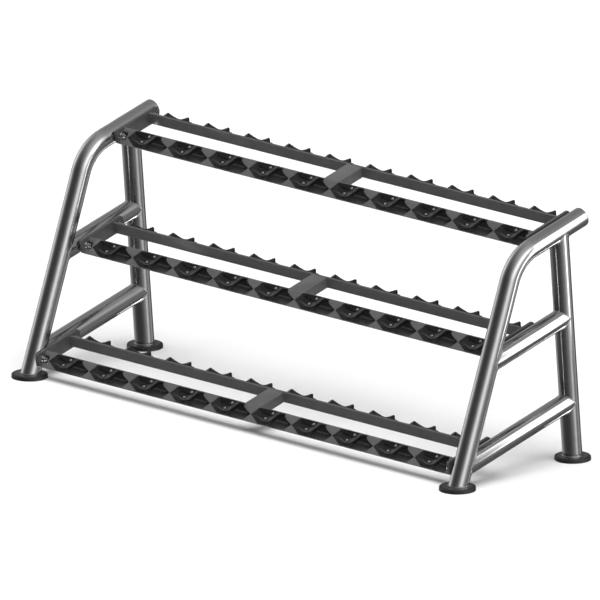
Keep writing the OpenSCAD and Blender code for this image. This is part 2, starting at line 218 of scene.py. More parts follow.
def noisePattern(tree, noise, alongTube):
    # noise over the object's own coordinates, or over the tube's map: u round it, v along it
    stretch, scale, detail, roughness = noise
    if alongTube:
        coords = tree.nodes.new("ShaderNodeUVMap")
        coords.uv_map = "along"
    else:
        coords = tree.nodes.new("ShaderNodeTexCoord")
    mapping = tree.nodes.new("ShaderNodeMapping")
    mapping.inputs["Scale"].default_value = stretch
    texture = tree.nodes.new("ShaderNodeTexNoise")
    texture.inputs["Scale"].default_value = scale
    texture.inputs["Detail"].default_value = detail
    texture.inputs["Roughness"].default_value = roughness
    tree.links.new(coords.outputs["UV" if alongTube else "Object"], mapping.inputs["Vector"])
    tree.links.new(mapping.outputs["Vector"], texture.inputs["Vector"])
    return texture.outputs["Fac"]


def spread(tree, source, low, high):
    # carries the middle of the noise's range in a straight line to low and high
    node = tree.nodes.new("ShaderNodeMapRange")
    node.inputs["From Min"].default_value, node.inputs["From Max"].default_value = noiseRange
    node.inputs["To Min"].default_value = low
    node.inputs["To Max"].default_value = high
    tree.links.new(source, node.inputs["Value"])
    return node.outputs["Result"]


def blendColours(tree, factor, first, second):
    # first colour at 0, second at 1; a colour is three numbers or the output of another node
    node = tree.nodes.new("ShaderNodeMix")
    node.data_type = "RGBA"
    for key, colour in (("A", first), ("B", second)):
        if isinstance(colour, tuple):
            node.inputs[key].default_value = (*colour, 1)
        else:
            tree.links.new(colour, node.inputs[key])
    tree.links.new(factor, node.inputs["Factor"])
    return node.outputs["Result"]


def bumpFrom(tree, shader, height, strength, depth):
    # tilts the shading as a relief of this depth would
    node = tree.nodes.new("ShaderNodeBump")
    node.inputs["Strength"].default_value = strength
    node.inputs["Distance"].default_value = depth
    tree.links.new(height, node.inputs["Height"])
    tree.links.new(node.outputs["Normal"], shader.inputs["Normal"])


def addPaintedLight(tree, shader, tint, look):
    # one attribute mixes in the paler colour, a painted highlight; the other takes shine away in
    # proportion, a painted shade
    paintedHighlight = tree.nodes.new("ShaderNodeAttribute")
    paintedHighlight.attribute_name = "paintedHighlight"
    paintedShade = tree.nodes.new("ShaderNodeAttribute")
    paintedShade.attribute_name = "paintedShade"
    shine = tree.nodes.new("ShaderNodeMath")
    shine.operation = "MULTIPLY_ADD"
    # the painted shade takes the specular level down, darkening where shade falls
    shine.inputs[1].default_value = look["paintedShadeDrop"]
    shine.inputs[2].default_value = look["shine"]
    tree.links.new(paintedShade.outputs["Fac"], shine.inputs[0])
    tree.links.new(shine.outputs["Value"], shader.inputs["Specular IOR Level"])
    return blendColours(tree, paintedHighlight.outputs["Fac"], tint, look["paintedHighlight"])


def newSurface(name):
    # noise picks the colour between dark and light, the roughness in its range, and a fine bump
    look = looks[name]
    material, tree, shader = newMaterial(name)
    alongTube = look.get("alongTube", False)
    grain = noisePattern(tree, look["grain"], alongTube)
    cloud = noisePattern(tree, look["cloud"], alongTube) if "cloud" in look else grain
    roughSource = grain if look.get("roughFromGrain") else cloud
    tint = blendColours(tree, spread(tree, cloud, 0.0, 1.0), look["dark"], look["light"])
    # on the saddle plastic, attributes paint a paler highlight into the colour and painted shade
    # into the shine
    if "paintedHighlight" in look:
        tint = addPaintedLight(tree, shader, tint, look)
    tree.links.new(tint, shader.inputs["Base Color"])
    tree.links.new(spread(tree, roughSource, *look["rough"]), shader.inputs["Roughness"])
    shader.inputs["Metallic"].default_value = look.get("metal", 0.0)
    if "coat" in look:
        shader.inputs["Coat Weight"].default_value = look["coat"][0]
        shader.inputs["Coat Roughness"].default_value = look["coat"][1]
    bumpFrom(tree, shader, grain, *look["bump"])
    return material


def threadedSteel():
    # plated stud: a triangle wave along the rack, one ring to a pitch, stands for its thread; its
    # light and dark bands are a painted highlight on each crest and painted shade in each root
    material, tree, shader = newMaterial("threadedSteel")
    coords = tree.nodes.new("ShaderNodeTexCoord")
    wave = tree.nodes.new("ShaderNodeTexWave")
    wave.bands_direction = "X"
    wave.wave_profile = "TRI"
    wave.inputs["Scale"].default_value = (
        math.pi * 2 / threadLook["pitch"] / threadLook["bandsPerUnit"])
    tree.links.new(coords.outputs["Object"], wave.inputs["Vector"])
    tint = blendColours(tree, wave.outputs["Fac"], threadLook["dark"], threadLook["light"])
    tree.links.new(tint, shader.inputs["Base Color"])
    shader.inputs["Metallic"].default_value = 1.0
    shader.inputs["Roughness"].default_value = threadLook["rough"]
    bumpFrom(tree, shader, wave.outputs["Fac"], *threadLook["bump"])
    return material


surfaces = {name: newSurface(name) for name in looks}
surfaces["threadedSteel"] = threadedSteel()
print("materials made")

tube = {
    "around": 72, "bendRings": 26, "rearRings": 14, "rungRings": 12, "weldGap": 0.0002,
    # rings on the straight of the front leg and of the arm: first part, last part, how many
    "legRings": (0.12, 0.98, 8), "armRings": (0.15, 1.0, 5), "merge": 1e-6, "sharp": 50,
}
bead = {"radius": 0.0028, "copeRadius": 0.00224, "sides": 8, "lift": 0.0012, "sharp": 60,
        "footPoints": 240, "copePoints": 260, "ripple": 0.10, "ripples": 60}
angles = np.linspace(0, 2 * math.pi, tube["around"], endpoint=False)


def ringOffsets():
    # a circle: radius times cosine across the rack, radius times sine in the side plane
    return tubeR * np.cos(angles), tubeR * np.sin(angles)


def straightRing(x, base, along, square, distance):
    # ring on a straight axis, each point moved along the axis by its own distance
    across, up = ringOffsets()
    yz = base[None, :] + distance[:, None] * along[None, :] + up[:, None] * square[None, :]
    return np.column_stack([x + across, yz])


def ringsBetween(x, base, along, square, first, last, count):
    # rings from one cut to the other: the first cut plus an even part of the way to the last
    return [straightRing(x, base, along, square, first + (last - first) * part)
            for part in np.linspace(0, 1, count)]


def floorCut(base, along, square, z):
    # distance along the axis at which each point of the ring reaches a height
    _, up = ringOffsets()
    return (z - base[1] - up * square[1]) / along[1]


def copeCut(base, along, square, otherBase, otherSide, side):
    # distance along the axis at which each point meets the skin of another tube:
    # its height over the other axis is the root of radius squared less offset squared
    across, up = ringOffsets()
    skin = side * np.sqrt((tubeR + tube["weldGap"]) ** 2 - across ** 2)
    start = float(np.dot(base - otherBase, otherSide))
    rise = up * float(np.dot(square, otherSide))
    return (skin - start - rise) / float(np.dot(along, otherSide))


def tubePiece(name, rings, node):
    # rings joined into a closed skin; the map holds the way round and the way along, in metres
    around = tube["around"] + 1
    points = np.array(rings)
    steps = np.linalg.norm(np.diff(points, axis=0), axis=2).mean(axis=1)
    along = np.concatenate([[0], np.cumsum(steps)])
    shape = (len(rings), around)
    u = np.broadcast_to(np.arange(around) / tube["around"] * 2 * math.pi * tubeR, shape)
    v = np.broadcast_to(along[:, None], shape)
    closed = np.concatenate([points, points[:, :1]], axis=1)
    piece = newPiece(name, closed, gridFaces(*shape, False), surfaces["polishedTube"],
                     tube["sharp"], uv=np.stack([u, v], axis=-1), merge=tube["merge"], caps=True)
    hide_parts(node)


def finer(curve, count):
    # the same closed curve with more points, by straight steps between them
    closed = np.concatenate([curve, curve[:1]])
    t = np.linspace(0, len(curve), count, endpoint=False)
    index = np.arange(len(curve) + 1)
    return np.column_stack([np.interp(t, index, closed[:, k]) for k in range(3)])


def beadPiece(name, ring, count, size):
    # a small round section carried along a closed curve; its radius swells and shrinks as a sine
    curve = finer(ring, count)
    ahead = np.roll(curve, -1, axis=0) - np.roll(curve, 1, axis=0)
    ahead /= np.linalg.norm(ahead, axis=1)[:, None]
    outwards = curve - curve.mean(axis=0)
    outwards -= (outwards * ahead).sum(axis=1)[:, None] * ahead
    outwards /= np.linalg.norm(outwards, axis=1)[:, None]
    other = np.cross(ahead, outwards)
    turn = np.linspace(0, 2 * math.pi, bead["sides"], endpoint=False)
    phase = np.arange(count) * 2 * math.pi * bead["ripples"] / count
    radius = size * (1 + bead["ripple"] * np.sin(phase))
    section = (np.cos(turn)[None, :, None] * outwards[:, None, :]
               + np.sin(turn)[None, :, None] * other[:, None, :])
    points = curve[:, None, :] + radius[:, None, None] * section
    closed = np.concatenate([points, points[:1]], axis=0)
    newPiece(name, closed, gridFaces(count + 1, bead["sides"], True), surfaces["weldBead"],
             bead["sharp"], merge=tube["merge"])


def footBead(name, ring):
    # the bead round the foot of a leg, lifted a little off the flange
    beadPiece(name, ring + np.array([0, 0, bead["lift"]]), bead["footPoints"], bead["radius"])


def copeBead(name, ring):
    # the thinner bead where one tube meets another
    beadPiece(name, ring, bead["copePoints"], bead["copeRadius"])


bendAngle = math.pi / 2 - lean - tilt
bendRun = rack["bendR"] * math.tan(bendAngle / 2)
corner = legPoint(rack["armZ"])
bendStart = corner - legDir * bendRun
bendCentre = bendStart + legSide * rack["bendR"]
legFoot, rearFoot = legPoint(0), rearPoint(0)


def bentRings(x):
    # leg, bend and arm in one: the ring's centre goes round the bend's centre as its plane turns
    rings = [straightRing(x, legFoot, legDir, legSide,
                          floorCut(legFoot, legDir, legSide, rack["soleZ"]))]
    straight = float(np.linalg.norm(bendStart - legFoot))
    for part in np.linspace(*tube["legRings"]):
        distance = np.full(tube["around"], straight * part)
        rings.append(straightRing(x, legFoot, legDir, legSide, distance))
    for part in np.linspace(0, 1, tube["bendRings"]):
        a = lean + part * bendAngle
        along = np.array([math.sin(a), math.cos(a)])
        square = np.array([math.cos(a), -math.sin(a)])
        centre = bendCentre - square * rack["bendR"]
        rings.append(straightRing(x, centre, along, square, np.zeros(tube["around"])))
    for part in np.linspace(*tube["armRings"]):
        distance = np.full(tube["around"], bendRun + (rack["armLen"] - bendRun) * part)
        rings.append(straightRing(x, corner, armDir, -armSide, distance))
    return rings


for sideName, x in sides.items():
    rings = bentRings(x)
    tubePiece(sideName + "BentTube", rings, sideName + "_front_leg")
    footBead(sideName + "FrontBead", rings[0])

    lowCut = floorCut(rearFoot, rearDir, rearSide, rack["soleZ"])
    topCut = copeCut(rearFoot, rearDir, rearSide, corner, armSide, -1)
    rings = ringsBetween(x, rearFoot, rearDir, rearSide, lowCut, topCut, tube["rearRings"])
    tubePiece(sideName + "RearTube", rings, sideName + "_rear_leg")
    footBead(sideName + "RearBead", rings[0])
    copeBead(sideName + "ArmBead", rings[-1])

    for tier in ("lower", "middle"):
        z = tiers[tier][0]
        base = legPoint(z)
        frontCut = copeCut(base, armDir, armSide, base, legSide, 1)
        rearCut = copeCut(base, armDir, armSide, rearPoint(z), rearSide, -1)
        rings = ringsBetween(x, base, armDir, armSide, frontCut, rearCut, tube["rungRings"])
        name = sideName + tier.capitalize()
        tubePiece(name + "Rung", rings, sideName + "_" + tier + "_rung")
        copeBead(name + "FrontWeld", rings[0])
        copeBead(name + "RearWeld", rings[-1])
print("tubes drawn")

turned = {"around": 128, "arcSteps": 5, "sharp": 35, "merge": 1e-6}


def roundProfile(corners):
    # corners are (radius, height, rounding); each rounded corner becomes an arc that touches its
    # two edges, at a distance of the rounding over the tangent of half the angle between them
    points = []
    for i, (r, h, fillet) in enumerate(corners):
        here = np.array([r, h])
        if fillet <= 0 or i in (0, len(corners) - 1):
            points.append(here)
            continue
        before = np.array(corners[i - 1][:2]) - here
        after = np.array(corners[i + 1][:2]) - here
        before /= np.linalg.norm(before)
        after /= np.linalg.norm(after)
        halfAngle = math.acos(max(-1, min(1, float(np.dot(before, after))))) / 2
        setBack = fillet / math.tan(halfAngle)
        middle = (before + after) / np.linalg.norm(before + after)
        centre = here + middle * fillet / math.sin(halfAngle)
        start = here + before * setBack - centre
        end = here + after * setBack - centre
        a0, a1 = math.atan2(start[1], start[0]), math.atan2(end[1], end[0])
        swing = (a1 - a0 + math.pi) % (2 * math.pi) - math.pi
        for part in np.linspace(0, 1, turned["arcSteps"] + 1):
            a = a0 + swing * part
            points.append(centre + fillet * np.array([math.cos(a), math.sin(a)]))
    return np.array(points)


def turnedPiece(name, corners, centre, axis, material, node):
    # a rounded profile carried round an axis, from the rack's x direction; ends close on the axis
    profile = roundProfile(corners)
    axis, across = np.array(axis, float), np.array([1.0, 0.0, 0.0])
    a = np.linspace(0, 2 * math.pi, turned["around"], endpoint=False)
    ring = np.cos(a)[:, None] * across + np.sin(a)[:, None] * np.cross(axis, across)
    heights, radii = profile[:, 1][:, None, None], profile[:, 0][:, None, None]
    points = np.array(centre) + heights * axis + radii * ring[None]
    piece = newPiece(name, points, gridFaces(len(profile), turned["around"], True), material,
                     turned["sharp"], merge=turned["merge"])
    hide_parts(node)


foot = {
    "radius": 0.070, "height": 0.016, "round": 0.0055, "recessGap": 0.0003, "recessEdge": 0.0008,
    # groove in the side and edge of the sole, as (distance in, height, rounding)
    "side": ((0, 0.0034, 0.0004), (0.0012, 0.0028, 0.0003), (0, 0.0022, 0.0004),
             (0.0004, 0.0, 0.0006)),
    # grooves of the tread: outer radii, then corners as (distance in, height)
    "treadR": (0.062, 0.048, 0.034), "treadEdge": 0.0003,
    "tread": ((0, 0.0), (0.001, 0.0012), (0.005, 0.0012), (0.006, 0.0)),
}
disc = {"lowIn": 0.0005, "lowRound": 0.0004, "sideIn": 0.0002, "shoulder": 0.0008,
        "topIn": 0.0014, "round": 0.0006}
cap = {
    "plugR": 0.0345, "plugDepth": 0.013, "plugRound": 0.0005,
    # rolled edge, as (distance in from the tube's skin, height, rounding), then the low dome
    "roll": ((0.0002, 0.0, 0.0003), (0.0002, 0.0022, 0.0016), (0.0026, 0.0038, 0.0012),
             (0.006, 0.0034, 0.0008)),
    "dome": ((0.012, 0.0039, 0.004), (0, 0.004, 0)),
}


def footCorners(discLow, discR):
    # recess for the disc, rounded shoulder, grooved side, and the tread below
    outer, high = foot["radius"], foot["height"]
    hole = discR + foot["recessGap"]
    corners = [(0, discLow, 0), (hole, discLow, 0), (hole, high, foot["recessEdge"]),
               (outer, high, foot["round"])]
    corners += [(outer - inward, z, fillet) for inward, z, fillet in foot["side"]]
    corners += [(r - inward, z, foot["treadEdge"]) for r in foot["treadR"]
                for inward, z in foot["tread"]]
    return corners + [(0, 0.0, 0)]


def discCorners(low, top, r):
    # flat disc with a small lower edge and a softer upper one
    return [(0, low, 0), (r - disc["lowIn"], low, disc["lowRound"]),
            (r - disc["sideIn"], top - disc["shoulder"], disc["round"]),
            (r - disc["topIn"], top, disc["round"]), (0, top, 0)]


def capCorners():
    # plug inside the tube, then the rolled edge and the dome outside it
    plug = [(0, -cap["plugDepth"], 0), (cap["plugR"], -cap["plugDepth"], cap["plugRound"]),
            (cap["plugR"], 0.0, 0)]
    roll = [(tubeR - inward, h, fillet) for inward, h, fillet in cap["roll"]]
    return plug + roll + list(cap["dome"])


for sideName, x in sides.items():
    for end in ("front", "rear"):
        stem = sideName + "_" + end
        low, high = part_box(stem + "_foot")
        centre = ((low.x + high.x) / 2, (low.y + high.y) / 2, 0)
        discLow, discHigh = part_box(stem + "_flange")
        discR = (discHigh.x - discLow.x) / 2
        name = sideName + end.capitalize()
        turnedPiece(name + "Foot", footCorners(discLow.z, discR), centre, (0, 0, 1),
                    surfaces["footRubber"], stem + "_foot")
        turnedPiece(name + "Flange", discCorners(discLow.z, discHigh.z, discR), centre, (0, 0, 1),
                    surfaces["flangePaint"], stem + "_flange")
    armEnd = corner + armDir * rack["armLen"]
    turnedPiece(sideName + "Cap", capCorners(), (x, *armEnd), (0, *armDir),
                surfaces["capPlastic"], sideName + "_arm_cap")
print("feet and caps drawn")

# Widths of the rounded edges in metres; how sheets and bars are rounded
edges = {"plate": 0.0012, "bracket": 0.0010, "rail": 0.0005, "bar": 0.0004, "nut": 0.0006,
         "washer": 0.0004, "stud": 0.0008}
dressing = {"merge": 2e-6, "flatAngle": 0.6, "sharp": 30, "bevelAngle": 40, "segments": 2}


def dressedCopy(name, node, surface, width):
    # a copy of a solid with its flat faces joined up and its sharp edges rounded to a width
    piece = cad[node].copy()
    piece.data = cad[node].data.copy()
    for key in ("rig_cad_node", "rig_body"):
        if key in piece:
            del piece[key]
    piece.name = name
    piece.parent = None
    bpy.context.scene.collection.objects.link(piece)
    work = bmesh.new()
    work.from_mesh(piece.data)
    bmesh.ops.remove_doubles(work, verts=work.verts, dist=dressing["merge"])
    bmesh.ops.dissolve_limit(work, angle_limit=math.radians(dressing["flatAngle"]),
                             verts=work.verts, edges=work.edges)
    work.to_mesh(piece.data)
    work.free()
    if piece.data.has_custom_normals:
        with bpy.context.temp_override(object=piece, active_object=piece, mesh=piece.data):
            bpy.ops.mesh.customdata_custom_splitnormals_clear()
    polygons = piece.data.polygons
    polygons.foreach_set("use_smooth", np.ones(len(polygons), bool))
    piece.data.set_sharp_from_angle(angle=math.radians(dressing["sharp"]))
    piece.data.materials.clear()
    piece.data.materials.append(surfaces[surface])
    bevel = piece.modifiers.new("edges", "BEVEL")
    bevel.width = width
    bevel.segments = dressing["segments"]
    bevel.limit_method = "ANGLE"
    bevel.angle_limit = math.radians(dressing["bevelAngle"])
    bevel.harden_normals = False
    bevel.use_clamp_overlap = True
    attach(piece, "root")
    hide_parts(node)


for sideName in sides:
    for tier in tiers:
        name = sideName + tier.capitalize()
        dressedCopy(name + "Bracket", sideName + "_" + tier + "_bracket",
                    "platePaint", edges["bracket"])
        dressedCopy(name + "EndPlate", tier + "_" + sideName + "_plate",
                    "platePaint", edges["plate"])
for tier in tiers:
    for part, node, width in (("FrontRail", "_front_rail", "rail"),
                              ("RearRail", "_rear_rail", "rail"),
                              ("CentreBar", "_centre_bar", "bar")):
        dressedCopy(tier + part, tier + node, "railPaint", edges[width])
dressedCopy("studNuts", "stud_nuts", "platedSteel", edges["nut"])
dressedCopy("studWashers", "stud_washers", "platedSteel", edges["washer"])
dressedCopy("studRods", "studs", "threadedSteel", edges["stud"])
for tier in tiers:
    for materialSlot in cad[tier + "_screws"].material_slots:
        materialSlot.material = surfaces["platedSteel"]
print("plates, rails and fasteners dressed")

# The saddle lies on the rail's sloping flange: "across" is x from its centre, "down" is the way
# from the rail's top edge. Single sizes are in metres, and the tables of curves in millimetres
saddle = {
    "pitch": 0.2185, "shift": 0.026, "count": 10, "half": 0.106, "topHalf": 0.070,
    "lowHalf": 0.062, "lap": 0.0025, "tip": 0.032, "low": 0.0595, "rim": 0.0016,
    "floor": 0.0026, "thinnest": 0.0012, "back": 0.0001, "slope": 48, "nose": 0.005,
    # right lip of the cup: how far down, how far across, and how high it stands
    "lipDown": (-2.5, 0, 3, 12, 21, 29, 36, 41, 45, 47),
    "lipAcross": (55, 53, 48, 32, 20, 11, 4, -3, -14, -30),
    "lipHeight": (20, 19.5, 17, 12.5, 10, 8.4, 7.2, 6.4, 5.8, 5.4),
    # lower lip of the cup, from the left point to below the screw
    "sillAcross": (-106, -70, -56, -47, -38, -26, -16, -5, 20),
    "sillDown": (31.5, 35.2, 37.8, 40.4, 43, 45.4, 46.4, 46.6, 46.6),
    "sillHeight": (1.6, 4.0, 4.4, 4.7, 4.9, 5.1, 5.3, 5.6, 6),
    # the floor starts to rise this far from the right lip and from the lower one
    "lipRun": 0.020, "sillRun": 0.010, "runLimit": 3,
    # upper edge of the cup, the same way round in both rows
    "brimAcross": (-57, -47, -34, -14, 6, 20, 30, 39, 46, 55),
    "brimHeight": (19, 16.2, 12.2, 6.2, 3.4, 2.4, 3.8, 8, 12.8, 19),
    # line along which the brim's wall ends, and half the width over which it falls
    "creaseAcross": (-74, -62, -51, -37, -22, -8, 2, 20, 56),
    "creaseDown": (5, 10.6, 14, 16.3, 19.4, 20.7, 19.5, 16, 12), "creaseHalf": 0.0036,
    # horns: their place and height, and where their outer sides reach the rim, left and right
    "hornU": 0.002, "hornX": 0.056, "hornH": 0.019, "sideEnd": (0.0705, 0.0635),
    "sideFrom": 0.054, "sideKeep": 0.0022,
    # outline of the saddle on the rail, left and right of its centre, and its bevelled edge
    "outDown": (-2.5, 6, 11, 20, 27, 32, 36, 59.5),
    "outLeft": (71, 79.2, 84.2, 93.5, 101, 106, 99, 59),
    "outRight": (64, 63, 66.5, 80.5, 98, 107.5, 104, 79), "edgeAcross": 0.7, "edgeSlope": 2.4,
    # outer wall of the cup: steep at first, then slack below a height
    "wall": 1.3, "slack": 0.42, "slackH": 0.0038, "wallAcross": 0.68,
    # the wing: start of its ridge, the line where it ends beside the cup, and its slope there
    "ridge": (0.033, 0.032, 0.0082), "endDown": (-2.5, 12, 32, 47, 60),
    "endAcross": (50, 43, 30, 17, 8), "rise": 3.0,
    # widths of the rounds between faces: of the cup, of the wing's ridge, of the outer edges
    "cupRound": 0.0016, "wingRound": 0.001, "edgeRound": 0.0008,
    "screws": ((-0.027, 0.035), (0.002, 0.009)), "pocketR": 0.0074, "pocketFloor": 0.0014,
    "pocketWall": 0.0012,
    # grid of each saddle: columns and rows, and where they crowd together
    "across": 120, "down": 50, "acrossMarks": (0.23, 0.40, 0.55, 0.77), "acrossCrowd": 0.8,
    "downMarks": (0.08, 0.19, 0.59), "downCrowd": 1.2, "endLimit": 1.0747, "sharp": 42,
}
# Painted highlight and painted shade of the saddle, from 0 to 1: strengths, widths and, in pairs,
# where each starts and is full
paintedTones = {
    "lip": 0.0022, "lipFade": (-0.004, 0.001), "sill": 0.0018, "sillFade": (-0.085, -0.04),
    "ridge": 0.5, "ridgeWidth": 0.0018, "ridgeUp": 0.0006, "ridgeFade": (-0.002, 0.002),
    "tipFade": (0.004, 0.02), "lowEdge": 0.5, "lowDown": (-0.022, 0.002), "lowAcross": (0.0, 0.06),
    "wallPart": (0.6, 1.2), "wallDown": (-0.001, 0.001), "wallBeyond": 0.02,
    "gapShift": 0.003, "gapWidth": 0.006, "gapFade": (-0.01, 0.01),
    "crease": 0.7, "creaseWidth": 0.0025, "creaseFade": (0, 0.004),
    "leftEdge": 0.6, "leftFade": (-0.005, -0.001), "leftDown": (0.026, 0.036),
    "leftAcross": (0, 0.01),
    "pocket": 0.9, "pocketFade": (-0.002, 0.0005), "pocketBelow": 0.008,
    "pocketDown": (-0.004, 0.004), "pocketEdge": (-0.001, 0.001),
}


def softMin(a, b, k):
    # lower of two heights, with a round of width k where they meet
    t = np.clip(0.5 + 0.5 * (b - a) / k, 0, 1)
    return b + (a - b) * t - k * t * (1 - t)


def softStep(value, start, end):
    # 0 before the start, 1 after the end, with a smooth cubic between them
    part = np.clip((value - start) / (end - start), 0, 1)
    return part * part * (3 - 2 * part)


def bell(value, width):
    # 1 at zero, falling off as the exponential of minus the square of value over width
    return np.exp(-(value / width) ** 2)


def planeThrough(p, q, r, x, u):
    # height of the plane through three points, each (across, down, height)
    a, b, c = (np.array(v, float) for v in (p, q, r))
    normal = np.cross(b - a, c - a)
    return a[2] - (normal[0] * (x - a[0]) + normal[1] * (u - a[1])) / normal[2]


def onCurve(value, at, result):
    # one of the saddle's curves, by straight steps between the points of its table
    return np.interp(value * mmPerMetre, saddle[at], saddle[result]) / mmPerMetre


def saddleLines(x, u, mirror):
    # what the height and the tones are made from: curves, and signed distances past them
    g = saddle
    lines = {
        "lipH": onCurve(u, "lipDown", "lipHeight"), "sillU": onCurve(x, "sillAcross", "sillDown"),
        "sillH": onCurve(x, "sillAcross", "sillHeight"), "endX": onCurve(u, "endDown", "endAcross"),
        "brim": onCurve(mirror * x, "brimAcross", "brimHeight"),
        "crease": onCurve(x, "creaseAcross", "creaseDown"),
        "pastLip": (x - onCurve(u, "lipDown", "lipAcross")) * g["wallAcross"],
    }
    lines["pastSill"] = u - lines["sillU"]
    lines["steepEnd"] = (lines["lipH"] - g["slackH"]) / g["wall"]
    outLeft, outRight = onCurve(u, "outDown", "outLeft"), onCurve(u, "outDown", "outRight")
    lines["toEdge"] = np.minimum(outLeft + x, outRight - x) * g["edgeAcross"]
    return lines


def outerHeight(x, u, lines):
    # the higher of the cup's outer walls and the wing. Past the right lip the wall falls steeply,
    # then slackly; past the sill a plain slope goes down to the lower edge. The wing is the lower
    # of two planes from its tip and its ridge, and of a steep end beside the cup
    g = saddle
    steep = np.minimum(lines["pastLip"], lines["steepEnd"])
    beyond = np.maximum(lines["pastLip"] - lines["steepEnd"], 0)
    wall = lines["lipH"] - (g["wall"] * steep + g["slack"] * beyond)
    slope = (lines["sillH"] - g["rim"]) / (g["low"] - lines["sillU"])
    face = lines["sillH"] - np.where(lines["pastSill"] > 0, slope, 1.0) * lines["pastSill"]
    tip = (g["half"], g["tip"], g["rim"])
    upper = planeThrough(tip, g["ridge"], (g["topHalf"], -g["lap"], g["rim"]), x, u)
    lower = planeThrough(tip, g["ridge"], (g["lowHalf"], g["low"], g["rim"]), x, u)
    wing = np.minimum(softMin(upper, lower, g["wingRound"]), g["rise"] * (x - lines["endX"]))
    return np.maximum(softMin(wall, face, g["cupRound"]), wing)


def cupFloor(u, lines):
    # low floor that rises as a square towards both lips, and by a smooth step to the brim
    g = saddle
    base = g["floor"]
    toLip = np.clip(1 + lines["pastLip"] / g["lipRun"], 0, g["runLimit"])
    toSill = np.clip(1 + lines["pastSill"] / g["sillRun"], 0, g["runLimit"])
    floor = np.maximum(base + (lines["lipH"] - base) * toLip ** 2,
                       base + (lines["sillH"] - base) * toSill ** 2)
    start, end = lines["crease"] - g["creaseHalf"], lines["crease"] + g["creaseHalf"]
    return np.maximum(floor, base + (lines["brim"] - base) * (1 - softStep(u, start, end)))


def trimmed(height, x, u, mirror, lines):
    # straight slopes bring the horns' outer sides, the upper edge and the outline to the rim
    g = saddle
    fall = g["hornH"] - g["rim"]
    sideEnd = np.where(mirror * x < 0, *g["sideEnd"])
    sideDrop = g["rim"] + fall * (sideEnd - np.abs(x)) / (sideEnd - g["hornX"])
    sideDrop = np.where(u > 0, np.maximum(sideDrop, g["rim"] + g["sideKeep"]), sideDrop)
    topDrop = g["rim"] + fall * (u + g["lap"]) / (g["hornU"] + g["lap"])
    height = softMin(height, topDrop, g["edgeRound"])
    height = np.minimum(height, np.where(np.abs(x) > g["sideFrom"], sideDrop, 1))
    edgeDrop = g["rim"] + g["edgeSlope"] * np.maximum(lines["toEdge"], 0)
    return softMin(height, edgeDrop, g["edgeRound"])


def saddleTones(x, u, lines):
    # painted highlight: a bell over each lip and the wing's ridge, and a step to the wing's lower
    # edge.
    #     # painted shade, as less shine: the foot of the wall, the gap beside the wing, the crease
    #     and the lower left edge
    g, w = saddle, paintedTones
    pastLip, pastSill, endX = lines["pastLip"], lines["pastSill"], lines["endX"]
    onWing = softStep(x - endX, *w["ridgeFade"]) * softStep(g["half"] - x, *w["tipFade"])
    # painted highlight where the lips, the ridge and the lower edge catch light
    paintedHighlight = np.maximum.reduce([
        bell(pastLip, w["lip"]) * softStep(-pastSill, *w["lipFade"]),
        bell(pastSill, w["sill"]) * softStep(-pastLip, *w["lipFade"]) * softStep(x, *w["sillFade"]),
        w["ridge"] * onWing * bell(u - g["tip"] + w["ridgeUp"], w["ridgeWidth"]),
        w["lowEdge"] * softStep(u - g["low"], *w["lowDown"]) * softStep(x, *w["lowAcross"]),
    ])
    wallStart, wallEnd = (lines["steepEnd"] * part for part in w["wallPart"])
    downStart = w["wallDown"][0] - w["wallBeyond"] * (1 - onWing)
    # painted shade at the wall's foot, the gap beside the wing, the crease and the lower left edge
    paintedShade = np.maximum.reduce([
        softStep(pastLip, wallStart, wallEnd) * softStep(g["tip"] - u, downStart, w["wallDown"][1]),
        softStep(x, *w["gapFade"]) * bell(x - endX + w["gapShift"], w["gapWidth"]),
        (w["crease"] * bell(u - lines["crease"], w["creaseWidth"])
         * softStep(-pastLip, *w["creaseFade"])),
        (w["leftEdge"] * softStep(-lines["toEdge"], *w["leftFade"])
         * softStep(u, *w["leftDown"]) * softStep(-x, *w["leftAcross"])),
    ])
    return paintedHighlight, paintedShade


def saddleHeight(x, u, mirror):
    # the lower of the outer faces and the cup's floor, trimmed at the edges, with a flat round
    #     # pocket under each screw; gives the height, the painted highlight and the painted shade
    g, w = saddle, paintedTones
    lines = saddleLines(x, u, mirror)
    height = softMin(outerHeight(x, u, lines), cupFloor(u, lines), g["cupRound"])
    height = trimmed(height, x, u, mirror, lines)
    paintedHighlight, paintedShade = saddleTones(x, u, lines)
    halfWall = g["pocketWall"] / 2
    for screwX, screwU in g["screws"]:
        near = np.hypot(x - screwX, u - screwU) - g["pocketR"]
        above = softStep(g["tip"] + w["pocketBelow"] - u, *w["pocketDown"])
        # painted shade in each screw's pocket; the painted highlight stops at the pocket's rim
        paintedShade = np.maximum(paintedShade, w["pocket"] * softStep(-near, *w["pocketFade"]) * above)
        paintedHighlight = paintedHighlight * softStep(near, *w["pocketEdge"])
        dip = (height - g["pocketFloor"]) * softStep(near, -halfWall, halfWall)
        height = np.minimum(height, g["pocketFloor"] + dip)
    return np.maximum(height, g["thinnest"]), paintedHighlight, paintedShade


def unevenSteps(count, marks, crowd):
    # steps from 0 to 1 that add up a density, which is higher near the marks
    samples, spreadOut = 2000, 0.035
    t = np.linspace(0, 1, samples)
    density = 1 + sum(crowd * bell(t - mark, spreadOut) for mark in marks)
    total = np.concatenate([[0], np.cumsum((density[1:] + density[:-1]) / 2)])
    return np.interp(np.linspace(0, total[-1], count), total, t)


